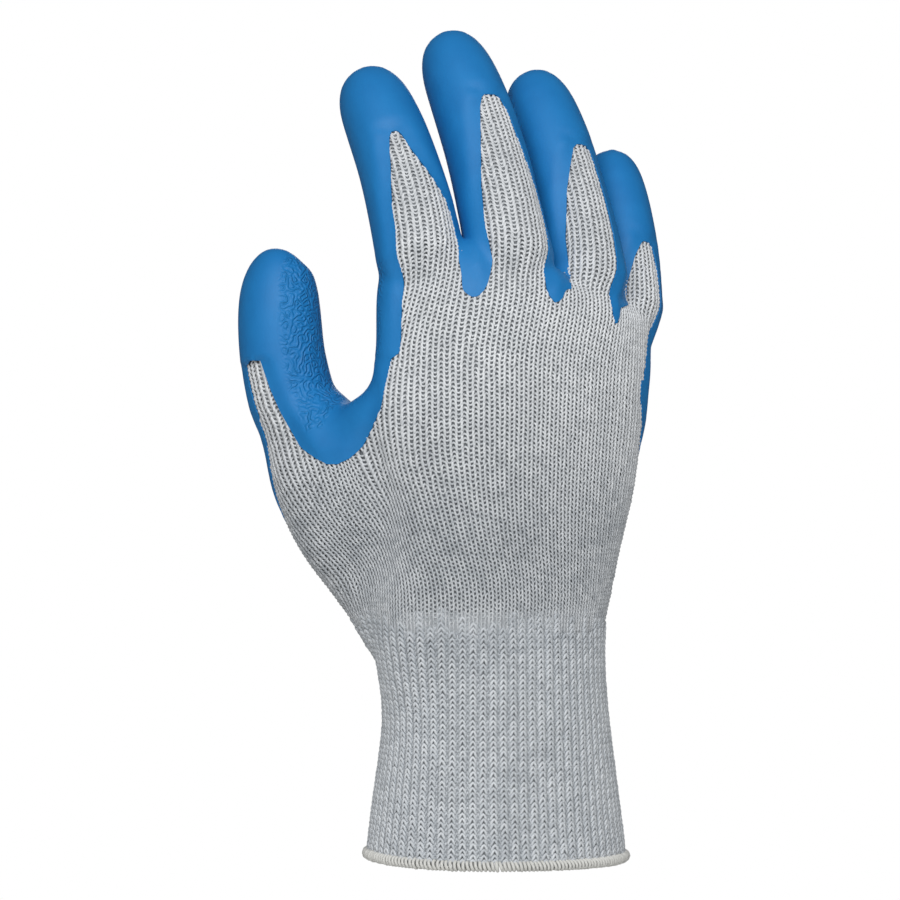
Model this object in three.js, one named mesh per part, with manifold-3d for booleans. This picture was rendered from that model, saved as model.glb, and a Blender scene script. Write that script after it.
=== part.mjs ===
// Palm-dipped knitted work glove, right hand, as it stands when worn.
// Millimetres, +Z towards the fingertips, +X towards the little finger, -Y out of the back of the hand.
// The origin is the centre of the wrist opening, in the plane of the hem.

import * as THREE from 'three';
import { LoftGeometry } from 'three/addons/geometries/LoftGeometry.js';
import { mergeVertices } from 'three/addons/utils/BufferGeometryUtils.js';
import Module from 'manifold-3d';

// Driving dimensions of the knitted glove, measured outside the yarn
const cuffLength = 75;
const hemBreadth = 80;
const hemDepth = 60;
const palmLength = 100;
const palmBreadth = 87;
const palmThickness = 31;

// Walls and clearances
const knitWall = 1.6;
const latexWall = 1.2;
const hemRoll = 3.2;
const seatGap = 0.3;

// How finely the sections are drawn
const handSides = 32;
const fingerSides = 16;
const hemSides = 8;
const sliver = 0.03;

// The cuff, a row per section from the hem up. rise is a share of the cuff length, side and half are
// shares of the hem breadth, centre, back and palm of the hem depth.
const cuffSections = [
  { rise: 0.0, side: -0.004, half: 0.5, centre: 0.0, back: 0.5, palm: 0.5 },
  { rise: 0.26, side: -0.008, half: 0.47, centre: 0.0, back: 0.47, palm: 0.47 },
  { rise: 0.56, side: -0.02, half: 0.447, centre: -0.015, back: 0.44, palm: 0.43 },
  { rise: 0.80, side: -0.034, half: 0.45, centre: -0.03, back: 0.42, palm: 0.40 },
];

// The palm above it. rise is a share of the palm length, side, half, arch and tip of the palm breadth,
// centre, back and palm of the palm thickness. arch bends the section round the palm, tip slopes it
// down to the little finger, turn is the way the back of the hand faces, in degrees.
const palmSections = [
  { rise: 0, side: -0.035, half: 0.418, centre: -0.10, back: 0.77, palm: 0.76,
    arch: 0, tip: 0, turn: 0 },
  { rise: 0.18, side: -0.015, half: 0.425, centre: -0.20, back: 0.68, palm: 0.70,
    arch: 0, tip: 0, turn: -1 },
  { rise: 0.34, side: 0.0, half: 0.448, centre: -0.29, back: 0.60, palm: 0.66,
    arch: 0.01, tip: 0, turn: -2 },
  { rise: 0.53, side: 0.008, half: 0.476, centre: -0.38, back: 0.55, palm: 0.62,
    arch: 0.03, tip: 0, turn: -4 },
  { rise: 0.72, side: 0.015, half: 0.485, centre: -0.44, back: 0.52, palm: 0.56,
    arch: 0.06, tip: -0.03, turn: -5 },
  { rise: 0.86, side: 0.024, half: 0.486, centre: -0.46, back: 0.5, palm: 0.5,
    arch: 0.08, tip: -0.08, turn: -6 },
  { rise: 0.95, side: 0.05, half: 0.47, centre: -0.44, back: 0.42, palm: 0.44,
    arch: 0.09, tip: -0.12, turn: -6 },
  { rise: 0.995, side: 0.052, half: 0.445, centre: -0.42, back: 0.26, palm: 0.3,
    arch: 0.09, tip: -0.13, turn: -6 },
];

// The four fingers. side, depth and rise place the root as shares of palm breadth, thickness and length,
// length is a share of the palm length and breadth of the palm breadth. pitch and curl tip the finger to
// the palm at its root and more at its tip, lean swings it sideways and turn is the way its back faces,
// in degrees. window is how far up its back stays bare of latex.
const fingerTable = [
  { name: 'index', side: -0.330, depth: -0.21, rise: 1.02, length: 0.65, breadth: 0.241,
    pitch: 18, curl: 28, lean: -1.5, turn: -12, window: 0.62 },
  { name: 'middle', side: -0.026, depth: -0.50, rise: 1.015, length: 0.78, breadth: 0.2345,
    pitch: 18, curl: 24, lean: -1, turn: -5, window: 0.69 },
  { name: 'ring', side: 0.242, depth: -0.45, rise: 0.96, length: 0.72, breadth: 0.2255,
    pitch: 17, curl: 24, lean: 0, turn: 0, window: 0.62 },
  { name: 'little', side: 0.476, depth: -0.29, rise: 0.885, length: 0.53, breadth: 0.193,
    pitch: 15, curl: 24, lean: 4, turn: 4, window: 0.40 },
];
const fingers = fingerTable.map((f) => ({
  ...f,
  length: f.length * palmLength,
  breadth: f.breadth * palmBreadth,
}));
const fingerDepthShare = 1.06;
const fingerRootReach = 24;
const fingerFootShare = 0.64;
const fingerRoundFrom = 0.8;

// Sections along a finger, as shares of its length and of its half breadth
const fingerSections = [
  { along: 0.0, width: 1.08 },
  { along: 0.22, width: 1.05 },
  { along: 0.46, width: 1.03 },
  { along: 0.68, width: 0.99 },
  { along: 0.84, width: 0.92 },
  { along: 0.93, width: 0.76 },
  { along: 0.975, width: 0.54 },
  { along: 1.0, width: 0.22 },
];

// The bare window on the back of a finger, as shares of the window's length and of the half breadth
const windowSections = [
  { along: -0.6, width: 1.3 },
  { along: -0.27, width: 1.3 },
  { along: -0.22, width: 1.05 },
  { along: -0.15, width: 0.92 },
  { along: 0.0, width: 0.80 },
  { along: 0.40, width: 0.76 },
  { along: 0.62, width: 0.60 },
  { along: 0.85, width: 0.42 },
  { along: 1.0, width: 0.14 },
];
const windowNear = 0.2;
const windowFar = 3.5;

// The thumb leaves the palm side of the hand low down and stands beside it. along is a share of its
// length, side and palm of its reaches, width, depth and web of its half breadth; web stretches a section
// across to the hand.
const thumbLength = 103;
const thumbBreadth = 22.2;
const thumbReachSide = 55;
const thumbReachPalm = 33;
const thumbRootBelowCuffTop = 15;
const thumbTurn = -68;
const thumbStallFrom = 8;
const thumbSections = [
  { along: 0.0, side: 0.24, palm: 0.05, width: 1.45, depth: 1.35, web: 0.0 },
  { along: 0.16, side: 0.42, palm: 0.28, width: 1.45, depth: 1.35, web: 0.2 },
  { along: 0.27, side: 0.58, palm: 0.45, width: 1.42, depth: 1.32, web: 0.6 },
  { along: 0.39, side: 0.735, palm: 0.62, width: 1.34, depth: 1.26, web: 1.1 },
  { along: 0.51, side: 0.855, palm: 0.74, width: 1.22, depth: 1.18, web: 1.6 },
  { along: 0.61, side: 0.93, palm: 0.83, width: 1.14, depth: 1.12, web: 1.85 },
  { along: 0.675, side: 0.975, palm: 0.88, width: 1.10, depth: 1.09, web: 1.7 },
  { along: 0.72, side: 0.995, palm: 0.92, width: 1.08, depth: 1.08, web: 0.95 },
  { along: 0.765, side: 1.005, palm: 0.945, width: 1.06, depth: 1.07, web: 0.2 },
  { along: 0.87, side: 1.005, palm: 0.98, width: 1.03, depth: 1.03, web: 0.0 },
  { along: 0.985, side: 1.005, palm: 1.0, width: 0.97, depth: 0.96, web: 0.0 },
  { along: 1.065, side: 1.0, palm: 1.02, width: 0.78, depth: 0.76, web: 0.0 },
  { along: 1.12, side: 0.995, palm: 1.02, width: 0.52, depth: 0.50, web: 0.0 },
  { along: 1.145, side: 0.99, palm: 1.02, width: 0.2, depth: 0.2, web: 0.0 },
];

const thumbRootRise = cuffLength - thumbRootBelowCuffTop;
const thumbTop = thumbSections[thumbSections.length - 1].along;
const thumbRoundFrom = 1.0;

// The bare window on the back of the thumb, as shares of the thumb's length and half breadth
const thumbWindow = [
  { along: 0.30, width: 1.0 },
  { along: 0.55, width: 0.75 },
  { along: 0.70, width: 0.42 },
  { along: 0.86, width: 0.12 },
];

// Where the dipped latex ends on the hand. rise is a share of the palm length. little and index are the
// depths of its edge at those sides, as shares of the palm thickness, and thumb that at the thumb's side,
// as a share of the thumb's reach to the palm.
const dipSections = [
  { rise: 0.33, little: -0.30, index: 0.10, thumb: 0.89 },
  { rise: 0.45, little: -0.44, index: 0.0, thumb: 0.85 },
  { rise: 0.60, little: -0.50, index: -0.12, thumb: 0.56 },
  { rise: 0.76, little: -0.55, index: -0.16, thumb: -1.9 },
  { rise: 1.25, little: -0.60, index: -0.16, thumb: -1.9 },
];
const dipSlope = 0.16;
const dipSlopeHalf = 0.69 * palmBreadth;
const dipThumbSide = 1.13 * thumbReachSide;
const dipIndexSide = 0.39 * palmBreadth;

// The tongue of latex below the crotch of the thumb. along is a share of the thumb's length, side of its
// reach to the side and half of its breadth.
const tongueSections = [
  { along: 0.558, side: -0.886, half: 0.12 },
  { along: 0.592, side: -0.902, half: 0.39 },
  { along: 0.67, side: -0.933, half: 0.59 },
  { along: 0.786, side: -0.965, half: 0.745 },
  { along: 0.922, side: -0.98, half: 0.86 },
];
const tongueTurn = -28;

// How low the latex dips in the webs between the fingers, as shares of the palm length at two places
// across the hand, which are shares of the palm breadth
const webDips = {
  index: { side: -0.17, rise: 0.95 },
  little: { side: 0.36, rise: 0.83 },
};

// Longer than anything that is cut
const cutReach = 130;

const wasm = await Module();
wasm.setup();

// A signed power keeps a section an ellipse at 1 and makes it squarer below 1
const squareness = 0.92;

function signedPower(value, power) {
  return Math.sign(value) * Math.abs(value) ** power;
}

function degrees(value) {
  return THREE.MathUtils.degToRad(value);
}

// A solid from a geometry whose shared corners are merged
function toSolid(geometry) {
  const bare = new THREE.BufferGeometry();
  bare.setAttribute('position', geometry.attributes.position);
  bare.setIndex(geometry.index);
  const merged = mergeVertices(bare, 1e-4);
  const mesh = new wasm.Mesh({
    numProp: 3,
    vertProperties: new Float32Array(merged.attributes.position.array),
    triVerts: new Uint32Array(merged.index.array),
  });
  return new wasm.Manifold(mesh);
}

// A closed solid skinned through a stack of rings
function loftSolid(rings) {
  return toSolid(new LoftGeometry(rings, { capStart: true, capEnd: true }));
}

// The cuff and palm tables in millimetres
function handRows() {
  const cuffRows = cuffSections.map((s) => ({
    rise: s.rise * cuffLength,
    side: s.side * hemBreadth,
    half: s.half * hemBreadth,
    centre: s.centre * hemDepth,
    back: s.back * hemDepth,
    palm: s.palm * hemDepth,
    arch: 0,
    tip: 0,
    turn: 0,
  }));
  const palmRows = palmSections.map((s) => ({
    rise: cuffLength + s.rise * palmLength,
    side: s.side * palmBreadth,
    half: s.half * palmBreadth,
    centre: s.centre * palmThickness,
    back: s.back * palmThickness,
    palm: s.palm * palmThickness,
    arch: s.arch * palmBreadth,
    tip: s.tip * palmBreadth,
    turn: degrees(s.turn),
  }));
  return [...cuffRows, ...palmRows];
}

// A point of the hand tube at an angle round it, grown outwards by an offset
function handPoint(row, angle, offset) {
  const depth = Math.sin(angle) > 0 ? row.palm : row.back;
  const across = signedPower(Math.cos(angle), squareness) * (row.half + offset);
  const share = across / row.half;
  const out = signedPower(Math.sin(angle), squareness) * (depth + offset) + row.arch * share * share;
  return new THREE.Vector3(
    row.side + across * Math.cos(row.turn) - out * Math.sin(row.turn),
    row.centre + across * Math.sin(row.turn) + out * Math.cos(row.turn),
    row.rise + row.tip * share,
  );
}

function handRing(row, offset) {
  const points = [];
  for (let i = 0; i < handSides; i++) {
    points.push(handPoint(row, (i / handSides) * Math.PI * 2, offset));
  }
  return points;
}

// The hand tube. Its closed top moves out with the offset; extra carries its lower end on below the hem.
function handSolid(offset, extra = 0) {
  const rows = handRows();
  rows[rows.length - 1].rise += offset;
  rows[rows.length - 2].rise += offset / 2;
  const rings = rows.map((row) => handRing(row, offset));
  if (extra > 0) {
    rings.unshift(rings[0].map((point) => point.clone().setZ(-extra)));
  }
  return loftSolid(rings);
}

// A place and a direction along a finger; below the root it runs straight on
function fingerStation(finger, along) {
  const steps = 24;
  const place = new THREE.Vector3(
    finger.side * palmBreadth,
    finger.depth * palmThickness,
    cuffLength + finger.rise * palmLength,
  );
  const lean = degrees(finger.lean);
  const wayAt = (share) => {
    const pitch = degrees(finger.pitch + finger.curl * Math.max(0, share));
    return new THREE.Vector3(
      Math.sin(lean),
      Math.cos(lean) * Math.sin(pitch),
      Math.cos(lean) * Math.cos(pitch),
    );
  };
  for (let i = 0; i < steps; i++) {
    const share = ((i + 0.5) / steps) * along;
    place.addScaledVector(wayAt(share), (finger.length * along) / steps);
  }
  return { place, way: wayAt(along) };
}

// The two directions across a path whose back faces a given way
function crossAxes(way, turnDegrees) {
  const turn = degrees(turnDegrees);
  const back = new THREE.Vector3(Math.sin(turn), -Math.cos(turn), 0);
  back.addScaledVector(way, -back.dot(way)).normalize();
  const side = new THREE.Vector3().crossVectors(back, way).normalize();
  return { back, side };
}

// An oval ring across a path; web stretches it on the side away from the side direction
function ovalRing(station, turnDegrees, halfBreadth, halfDepth, web = 0) {
  const { back, side } = crossAxes(station.way, turnDegrees);
  const points = [];
  for (let i = 0; i < fingerSides; i++) {
    const angle = (i / fingerSides) * Math.PI * 2;
    const reach = Math.cos(angle) < 0 ? halfBreadth + web : halfBreadth;
    const point = station.place.clone();
    point.addScaledVector(side, Math.cos(angle) * reach);
    point.addScaledVector(back, Math.sin(angle) * halfDepth);
    points.push(point);
  }
  return points;
}

// A four-cornered ring that stands off a path on its back side
function backRing(station, turnDegrees, halfBreadth, near, far) {
  const { back, side } = crossAxes(station.way, turnDegrees);
  const corners = [[-1, near], [1, near], [1, far], [-1, far]];
  return corners.map(([across, out]) => station.place.clone()
    .addScaledVector(side, across * halfBreadth)
    .addScaledVector(back, out));
}

// The rings of a finger from its root to its tip, and the one inside the hand below the root
function fingerRings(finger, offset, startGap = 0) {
  const half = finger.breadth / 2;
  return fingerSections.map((section) => {
    const along = section.along + startGap / finger.length * (1 - section.along);
    const station = fingerStation(finger, along);
    const tipShare = Math.max(0, (section.along - fingerRoundFrom) / (1 - fingerRoundFrom));
    station.place.addScaledVector(station.way, offset * tipShare);
    const breadth = half * section.width + offset;
    const depth = half * section.width * fingerDepthShare + offset;
    return ovalRing(station, finger.turn, breadth, depth);
  });
}

function fingerFoot(finger, offset) {
  const station = fingerStation(finger, 0);
  station.place.z -= fingerRootReach;
  const half = (finger.breadth / 2) * fingerFootShare + offset;
  return ovalRing(station, finger.turn, half, half);
}

function fingerSolid(finger, offset) {
  return loftSolid([fingerFoot(finger, offset), ...fingerRings(finger, offset)]);
}

function fingerSleeve(finger, offset) {
  return loftSolid([fingerFoot(finger, offset), fingerRings(finger, offset)[0]]);
}

function fingerStall(finger, offset) {
  return loftSolid(fingerRings(finger, offset, seatGap));
}

// The middle of each of the thumb's sections, and the rings round them
function thumbPlaces() {
  return thumbSections.map((s) => new THREE.Vector3(
    -s.side * thumbReachSide,
    s.palm * thumbReachPalm,
    thumbRootRise + s.along * thumbLength,
  ));
}

function thumbRings(offset) {
  const places = thumbPlaces();
  const curve = new THREE.CatmullRomCurve3(places);
  const half = thumbBreadth / 2;
  return thumbSections.map((s, i) => {
    const way = curve.getTangent(i / (thumbSections.length - 1));
    const tipShare = Math.max(0, (s.along - thumbRoundFrom) / (thumbTop - thumbRoundFrom));
    const place = places[i].clone().addScaledVector(way, offset * tipShare);
    return ovalRing({ place, way }, thumbTurn, half * s.width + offset, half * s.depth + offset,
      half * s.web);
  });
}

function thumbSolid(offset) {
  return loftSolid(thumbRings(offset));
}

function thumbSleeve(offset) {
  return loftSolid(thumbRings(offset).slice(0, thumbStallFrom + 1));
}

function thumbStall(offset) {
  const rings = thumbRings(offset).slice(thumbStallFrom);
  rings[0] = rings[0].map((point) => point.clone().setZ(point.z + seatGap));
  return loftSolid(rings);
}

// The whole glove as one filled form
function gloveForm(offset, extra = 0) {
  let form = handSolid(offset, extra).add(thumbSolid(offset));
  for (const finger of fingers) {
    form = form.add(fingerSolid(finger, offset));
  }
  return form;
}

// A block between two heights, wide enough to cut anything
function slab(low, high) {
  const ring = (z) => [[-1, -1], [1, -1], [1, 1], [-1, 1]].map(([x, y]) => (
    new THREE.Vector3(x * cutReach, y * cutReach, z)));
  return loftSolid([ring(low), ring(high)]);
}

const hollow = gloveForm(-knitWall, seatGap);

// The knitted tube from the hem to the stalls, which the wrist and the hand are cut from
function knitTube() {
  let form = handSolid(0).add(thumbSleeve(0));
  for (const finger of fingers) {
    form = form.add(fingerSleeve(finger, 0));
  }
  return form.subtract(hollow);
}

const tube = knitTube();
const knitWrist = tube.intersect(slab(hemRoll + seatGap, cuffLength - seatGap));
const knitHand = tube.intersect(slab(cuffLength, cuffLength + palmLength * 2));

// What a stall keeps clear of: the hand, the sleeves of the other fingers and the stalls made before it
function clearOfHand(stall, without) {
  let clear = stall.subtract(handSolid(seatGap));
  for (const finger of fingers) {
    if (finger.name !== without) {
      clear = clear.subtract(fingerSleeve(finger, seatGap));
    }
  }
  return without === 'thumb' ? clear : clear.subtract(thumbSleeve(seatGap));
}

// The overcast edge: a thread roll that follows the end of the cuff
function cuffHem() {
  const row = handRows()[0];
  const radius = hemRoll / 2;
  const rings = [];
  for (let i = 0; i <= handSides; i++) {
    const angle = ((i % handSides) / handSides) * Math.PI * 2;
    const inner = handPoint(row, angle, -knitWall / 2 - radius);
    const outer = handPoint(row, angle, -knitWall / 2 + radius);
    const middle = inner.clone().add(outer).multiplyScalar(0.5);
    const out = outer.clone().sub(inner).multiplyScalar(0.5);
    const ring = [];
    for (let j = 0; j < hemSides; j++) {
      const round = (j / hemSides) * Math.PI * 2;
      const point = middle.clone().addScaledVector(out, Math.cos(round));
      point.z += radius + Math.sin(round) * radius;
      ring.push(point);
    }
    rings.push(ring.reverse());
  }
  return toSolid(new LoftGeometry(rings));
}

// The part of space where the hand is coated: the palm side of a sloping edge
function palmDip() {
  const rings = dipSections.map((s) => {
    const z = cuffLength + s.rise * palmLength;
    const corners = [
      [cutReach, s.little * palmThickness],
      [cutReach, cutReach],
      [-cutReach, cutReach],
      [-cutReach, s.thumb * thumbReachPalm],
      [-dipThumbSide, s.thumb * thumbReachPalm],
      [-dipIndexSide, s.index * palmThickness],
    ];
    const slope = s === dipSections[0] ? dipSlope : 0;
    return corners.map(([x, y]) => {
      const across = THREE.MathUtils.clamp(x, -dipSlopeHalf, dipSlopeHalf);
      return new THREE.Vector3(x, y, z + slope * across);
    });
  });
  return loftSolid(rings);
}

// Above this the fingers and the thumb are coated all round, but for their windows
function fingerDip() {
  const { index, little } = webDips;
  const low = (x) => cuffLength + palmLength * THREE.MathUtils.mapLinear(x / palmBreadth,
    index.side, little.side, index.rise, little.rise);
  const ring = (lift) => [[-1, -1], [1, -1], [1, 1], [-1, 1]].map(([x, y]) => (
    new THREE.Vector3(x * palmBreadth, y * cutReach, low(x * palmBreadth) + lift)));
  return loftSolid([ring(0), ring(cutReach)]);
}

function fingerWindow(finger) {
  const half = finger.breadth / 2;
  const rings = windowSections.map((s) => {
    const station = fingerStation(finger, s.along * finger.window);
    return backRing(station, finger.turn, half * s.width, half * windowNear, half * windowFar);
  });
  return loftSolid(rings);
}

function thumbBareWindow() {
  const curve = new THREE.CatmullRomCurve3(thumbPlaces());
  const half = thumbBreadth / 2;
  const rings = thumbWindow.map((s) => {
    const place = curve.getPoint(s.along / thumbTop);
    const way = new THREE.Vector3(0, 0, 1);
    return backRing({ place, way }, thumbTurn, half * s.width, half * windowNear, half * windowFar);
  });
  return loftSolid(rings);
}

// The tongue of latex runs straight through the web of the thumb
function thumbTongue() {
  const turn = degrees(tongueTurn);
  const away = new THREE.Vector3(Math.sin(turn), -Math.cos(turn), 0);
  const across = new THREE.Vector3(Math.cos(turn), Math.sin(turn), 0);
  const rings = tongueSections.map((s) => {
    const corners = [[-1, -1], [-1, 1], [1, 1], [1, -1]];
    const middle = s.side * thumbReachSide;
    return corners.map(([a, b]) => new THREE.Vector3(0, 0, thumbRootRise + s.along * thumbLength)
      .addScaledVector(across, middle + a * s.half * thumbBreadth)
      .addScaledVector(away, b * cutReach));
  });
  return loftSolid(rings);
}

function latexCoat() {
  const skin = gloveForm(seatGap + latexWall).subtract(gloveForm(seatGap));
  let zone = palmDip().add(fingerDip());
  for (const finger of fingers) {
    zone = zone.subtract(fingerWindow(finger));
  }
  zone = zone.subtract(thumbBareWindow()).add(thumbTongue());
  return skin.intersect(zone);
}

// A geometry from a solid, without the slivers that the cuts leave
function toGeometry(solid) {
  const mesh = solid.simplify(sliver).getMesh();
  const geometry = new THREE.BufferGeometry();
  geometry.setAttribute('position', new THREE.BufferAttribute(new Float32Array(mesh.vertProperties), 3));
  geometry.setIndex(new THREE.BufferAttribute(new Uint32Array(mesh.triVerts), 1));
  geometry.computeVertexNormals();
  return geometry;
}

const yarn = new THREE.MeshStandardMaterial({ color: 0xa9abad, roughness: 0.95, metalness: 0 });
const thread = new THREE.MeshStandardMaterial({ color: 0xd9d9d6, roughness: 0.9, metalness: 0 });
const rubber = new THREE.MeshStandardMaterial({ color: 0x357eba, roughness: 0.55, metalness: 0 });

const glove = new THREE.Group();

function addPiece(name, solid, material) {
  const mesh = new THREE.Mesh(toGeometry(solid), material);
  mesh.name = name;
  glove.add(mesh);
}

addPiece('knit_wrist', knitWrist, yarn);
addPiece('knit_hand', knitHand, yarn);
addPiece('thumb_stall', clearOfHand(thumbStall(0).subtract(thumbSolid(-knitWall)), 'thumb'), yarn);
for (const finger of fingers) {
  const stall = fingerStall(finger, 0).subtract(fingerSolid(finger, -knitWall));
  addPiece(`${finger.name}_stall`, clearOfHand(stall, finger.name), yarn);
}
addPiece('cuff_hem', cuffHem(), thread);
addPiece('latex_coat', latexCoat(), rubber);

export default glove;
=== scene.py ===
# %% [markdown]
# # A latex coated grip glove
# The real glove is knitted in one piece from grey heather yarn, then its palm side is dipped in blue
# natural rubber. This script loads the measured solids as a fixed frame and dresses them: a smooth knitted
# body, every stitch that shows as a loop of yarn, a thin skin of latex with a crinkled grip, and the
# overcast hem.

import math

import bmesh
import bpy
import numpy as np
from mathutils import Matrix, Vector
from mathutils.bvhtree import BVHTree


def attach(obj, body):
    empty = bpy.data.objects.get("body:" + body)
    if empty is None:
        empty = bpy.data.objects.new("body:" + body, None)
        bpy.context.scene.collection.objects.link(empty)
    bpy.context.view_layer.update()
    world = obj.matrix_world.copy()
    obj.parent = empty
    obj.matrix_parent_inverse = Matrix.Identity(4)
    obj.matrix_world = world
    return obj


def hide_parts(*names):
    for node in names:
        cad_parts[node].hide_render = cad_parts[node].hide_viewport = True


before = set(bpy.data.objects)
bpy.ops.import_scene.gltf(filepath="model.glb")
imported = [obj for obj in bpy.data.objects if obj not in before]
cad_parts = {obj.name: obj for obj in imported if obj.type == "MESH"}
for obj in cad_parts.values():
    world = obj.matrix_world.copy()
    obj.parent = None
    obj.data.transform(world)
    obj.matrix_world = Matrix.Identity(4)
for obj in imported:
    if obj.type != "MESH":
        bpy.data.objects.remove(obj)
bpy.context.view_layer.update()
mm = 0.001
chance = np.random.default_rng(7)
print("solids in the frame:", sorted(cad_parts))

# %% [markdown]
# ## Sizes
# A hand is hard to draw but easy to slice. These short tables are nearly the slices that the solids were
# lofted through: a row for each section, its lengths as shares of a few real sizes. The solids' own meshes
# could be dressed instead, but their faces are too large for a smooth knit. With the tables here the cloth
# is as fine as it needs to be and stays close to the solids, and the yarn can be told where it is on the
# hand.

# %% The hand's slices
cuff_length = 75 * mm
hem_breadth = 80 * mm
hem_depth = 60 * mm
palm_length = 100 * mm
palm_breadth = 87 * mm
palm_thickness = 31 * mm
hem_roll = 3.2 * mm
squareness = 0.92

# the hem rises a little towards the thumb's side: its slope, and the way it falls as shares of x and y
hem_tilt = 0.031
hem_falls = (0.88, -0.47)

# rise, side, half, centre, back, palm: the cuff from the hem up
cuff_sections = [
    (0.00, 0.000, 0.504, 0.000, 0.50, 0.50),
    (0.26, -0.002, 0.473, 0.000, 0.47, 0.47),
    (0.56, -0.010, 0.436, -0.015, 0.44, 0.43),
    (0.80, -0.038, 0.445, -0.030, 0.42, 0.40),
]

# rise, side, half, centre, back, palm, arch, tip and turn in degrees: the palm above it
palm_sections = [
    (0.000, -0.042, 0.428, -0.10, 0.77, 0.76, 0.00, 0.00, 0),
    (0.180, -0.015, 0.433, -0.20, 0.68, 0.70, 0.00, 0.00, -1),
    (0.340, 0.003, 0.454, -0.29, 0.60, 0.66, 0.01, 0.00, -2),
    (0.530, -0.017, 0.495, -0.38, 0.55, 0.62, 0.03, 0.00, -4),
    (0.620, -0.012, 0.496, -0.41, 0.54, 0.59, 0.045, -0.01, -4.5),
    (0.720, 0.010, 0.484, -0.44, 0.52, 0.56, 0.06, -0.03, -5),
    (0.860, 0.018, 0.482, -0.46, 0.50, 0.50, 0.08, -0.08, -6),
    (0.950, 0.050, 0.470, -0.44, 0.42, 0.44, 0.09, -0.12, -6),
    (0.995, 0.052, 0.445, -0.42, 0.26, 0.30, 0.09, -0.13, -6),
]


def hand_rows():
    """The cuff and palm tables in metres and radians."""
    cuff_scale = [cuff_length, hem_breadth, hem_breadth] + [hem_depth] * 3
    palm_scale = [palm_length, palm_breadth, palm_breadth] + [palm_thickness] * 3
    palm_scale += [palm_breadth, palm_breadth, math.radians(1)]
    cuff = [[v * k for v, k in zip(row, cuff_scale)] + [0, 0, 0] for row in cuff_sections]
    palm = [[v * k for v, k in zip(row, palm_scale)] for row in palm_sections]
    for row in palm:
        row[0] += cuff_length
    return np.array(cuff + palm)


def smooth_rows(table, steps):
    """More rows between the given ones, on a Catmull-Rom curve through every column."""
    table = np.array(table, float)
    last = len(table) - 1
    rows = []
    for i in range(last):
        before, here, after, beyond = (table[min(max(i + k, 0), last)] for k in (-1, 0, 1, 2))
        for t in np.arange(steps) / steps:
            line = 2 * here + (after - before) * t
            bend = (2 * before - 5 * here + 4 * after - beyond) * t * t
            twist = (3 * here - before - 3 * after + beyond) * t ** 3
            rows.append((line + bend + twist) / 2)
    rows.append(table[last])
    return np.array(rows)


def hand_point(row, angle):
    """A point of the hand tube at an angle round it."""
    rise, side, half, centre, back, palm, arch, tip, turn = row
    depth = palm if math.sin(angle) > 0 else back
    across = math.copysign(abs(math.cos(angle)) ** squareness, math.cos(angle)) * half
    share = across / half
    out = math.copysign(abs(math.sin(angle)) ** squareness, math.sin(angle)) * depth
    out += arch * share * share
    x = side + across * math.cos(turn) - out * math.sin(turn)
    y = centre + across * math.sin(turn) + out * math.cos(turn)
    return Vector((x, y, rise + tip * share))


def hand_rings(sides, steps):
    angles = np.arange(sides) / sides * math.tau
    return [[hand_point(row, angle) for angle in angles] for row in smooth_rows(hand_rows(), steps)]


print("rows of the hand:", len(hand_rows()))

# %% The fingers' and thumb's slices
# side, depth and rise of the root, length and breadth are shares of the palm's sizes, the rest is degrees
fingers = {
    "index": dict(side=-0.331, depth=-0.21, rise=1.02, length=0.65, breadth=0.238,
                  pitch=18, curl=28, lean=-1.5, turn=-12),
    "middle": dict(side=-0.043, depth=-0.50, rise=1.015, length=0.785, breadth=0.236,
                   pitch=18, curl=24, lean=-1, turn=-5),
    "ring": dict(side=0.258, depth=-0.45, rise=0.96, length=0.72, breadth=0.2255,
                 pitch=17, curl=24, lean=0, turn=0),
    "little": dict(side=0.464, depth=-0.29, rise=0.885, length=0.53, breadth=0.190,
                   pitch=15, curl=24, lean=6.5, turn=4),
}
finger_depth_share = 1.06
finger_root_reach = 24 * mm
finger_foot_share = 0.64
finger_foot_side = 0.86

# along and width, as shares of the length and of the breadth
finger_sections = [(0, 1.14), (0.22, 1.10), (0.46, 1.04), (0.68, 1.00), (0.84, 0.92), (0.93, 0.76),
                   (0.975, 0.54), (1.0, 0.22)]

thumb_length = 103 * mm
thumb_breadth = 22.2 * mm
thumb_reach_side = 55 * mm
thumb_reach_palm = 33 * mm
thumb_root_rise = cuff_length - 15 * mm
thumb_turn = -68

# along, side, palm, width, depth and web, which stretches a section towards the hand
thumb_sections = [
    (0.000, 0.335, 0.050, 1.50, 1.35, 0.00),
    (0.160, 0.490, 0.280, 1.50, 1.35, 0.20),
    (0.270, 0.602, 0.450, 1.45, 1.32, 0.60),
    (0.390, 0.764, 0.620, 1.34, 1.26, 1.10),
    (0.510, 0.858, 0.740, 1.20, 1.18, 1.64),
    (0.610, 0.888, 0.830, 1.09, 1.12, 1.20),
    (0.675, 0.914, 0.880, 1.06, 1.09, 0.40),
    (0.720, 0.941, 0.920, 1.06, 1.08, 0.05),
    (0.765, 0.966, 0.945, 1.06, 1.07, 0.00),
    (0.870, 1.000, 0.980, 1.04, 1.03, 0.00),
    (0.985, 1.012, 1.000, 1.02, 0.98, 0.00),
    (1.065, 1.006, 1.015, 0.95, 0.86, 0.00),
    (1.125, 0.985, 1.015, 0.72, 0.65, 0.00),
    (1.150, 0.960, 1.015, 0.30, 0.30, 0.00),
]


def finger_way(finger, share):
    """The direction a finger runs in; it curls to the palm above its root."""
    lean = math.radians(finger["lean"])
    pitch = math.radians(finger["pitch"] + finger["curl"] * max(0.0, share))
    return Vector((math.sin(lean), math.cos(lean) * math.sin(pitch), math.cos(lean) * math.cos(pitch)))


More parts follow.
